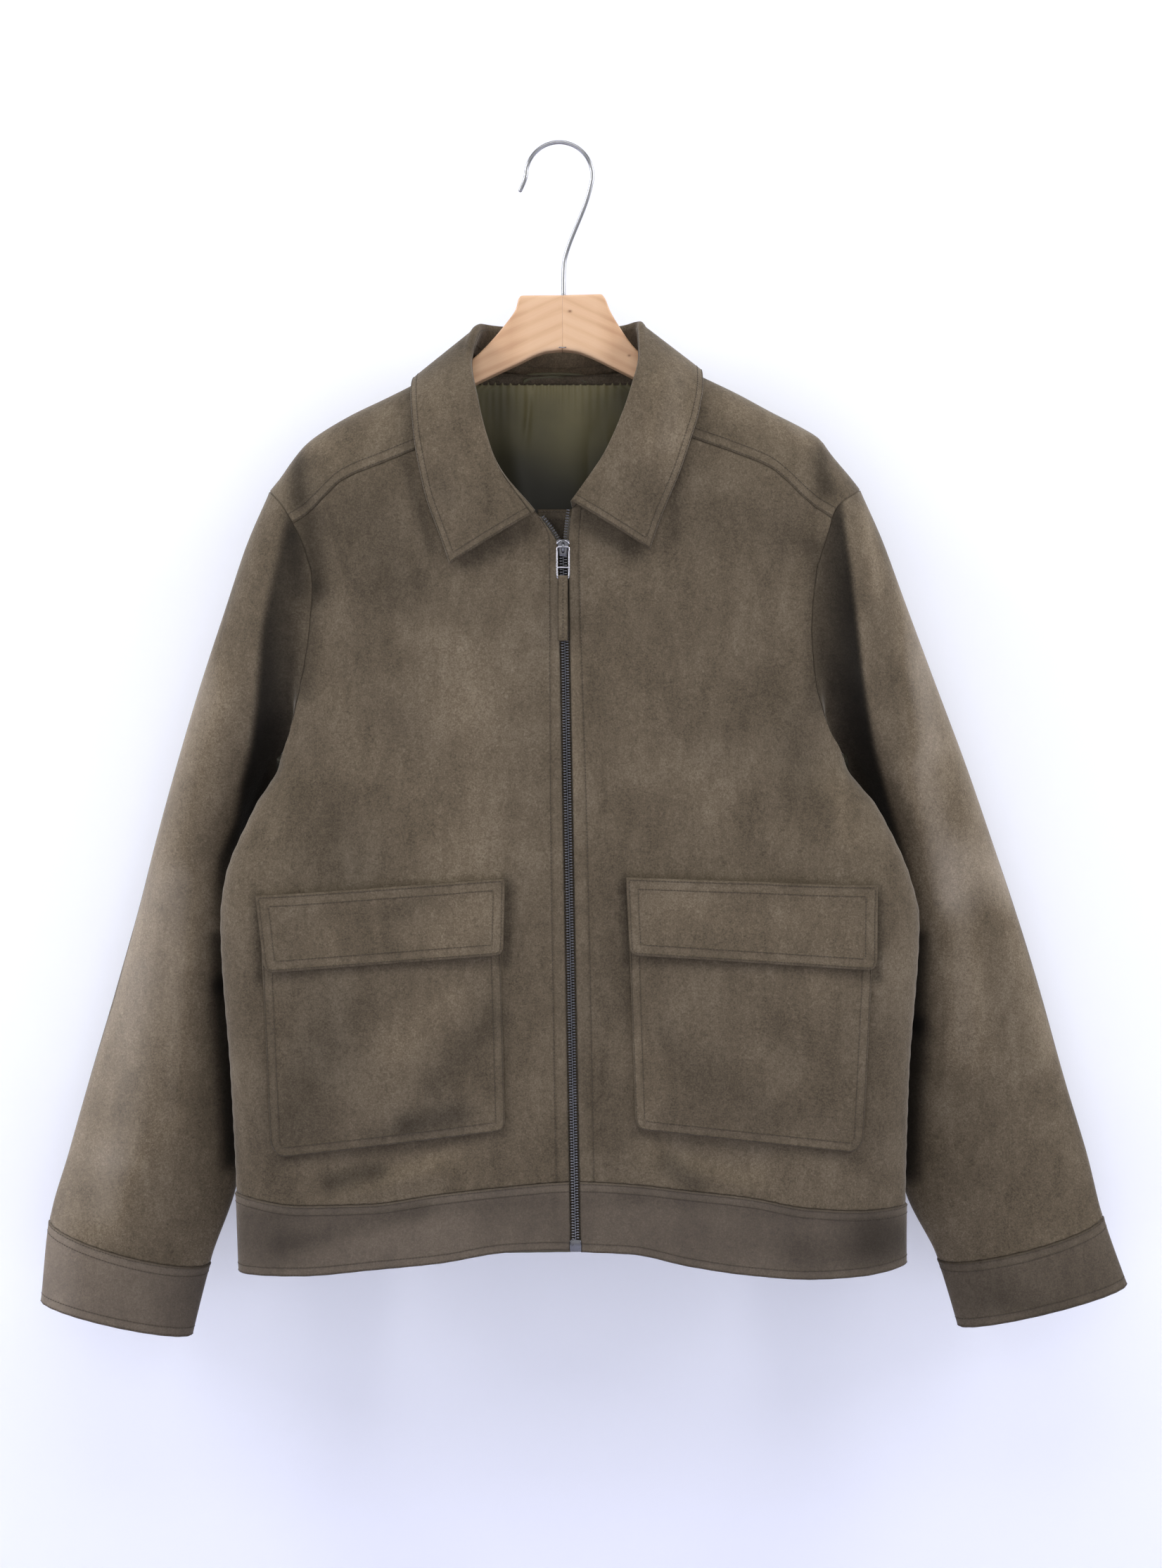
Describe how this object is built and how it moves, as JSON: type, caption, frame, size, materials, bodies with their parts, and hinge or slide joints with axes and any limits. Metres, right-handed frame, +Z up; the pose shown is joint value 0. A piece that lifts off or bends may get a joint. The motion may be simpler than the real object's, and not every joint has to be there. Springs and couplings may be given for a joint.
{
  "type": "shell jacket on a wooden hanger",
  "caption": "Zip-front shell jacket of brushed suede cloth with a point collar and flapped patch pockets, hung hollow on a flat wooden hanger.",
  "frame": {"origin": "inner top of the hook's bend, where a rail carries it", "axes": "+X to the wearer's left (right as seen from the front), -Y out of the jacket's front, +Z up"},
  "size_m": [0.851, 0.14, 0.9363],
  "materials": {
    "suede": "olive-brown brushed faux suede, mottled nap",
    "suede_band": "olive-brown brushed faux suede, topstitched",
    "satin": "dark olive satin lining",
    "tape": "woven brown zip tape",
    "gunmetal": "polished gunmetal",
    "wood": "pale varnished wood, fine grain",
    "chrome": "polished wire"
  },
  "bodies": {
    "jacket": {"front_left": "suede", "front_right": "suede", "back": "suede", "yoke": "suede", "pocket_left": "suede", "pocket_right": "suede", "flap_left": "suede_band", "flap_right": "suede_band", "waistband": "suede_band", "sleeve_left": "suede", "sleeve_right": "suede", "cuff_left": "suede_band", "cuff_right": "suede_band", "collar_stand": "suede", "collar_leaf": "suede_band", "lining_back": "satin", "hang_loop": "satin", "zip_tape_left": "tape", "zip_tape_right": "tape", "zip_chain": "gunmetal", "zip_guard": "suede_band", "zip_box": "gunmetal", "zip_slider": "gunmetal", "hanger_left": "wood", "hanger_right": "wood", "hook": "chrome"},
    "zip_pull": {"pull_frame": "gunmetal", "pull_strap": "suede_band"}
  },
  "joints": [
    {"name": "zip_pull_swing", "type": "hinge", "parent": "jacket", "child": "zip_pull", "pos_m": [0.00333, -0.0496, -0.3195], "axis": [-1, 0, 0], "range_deg": [0, 150]}
  ]
}
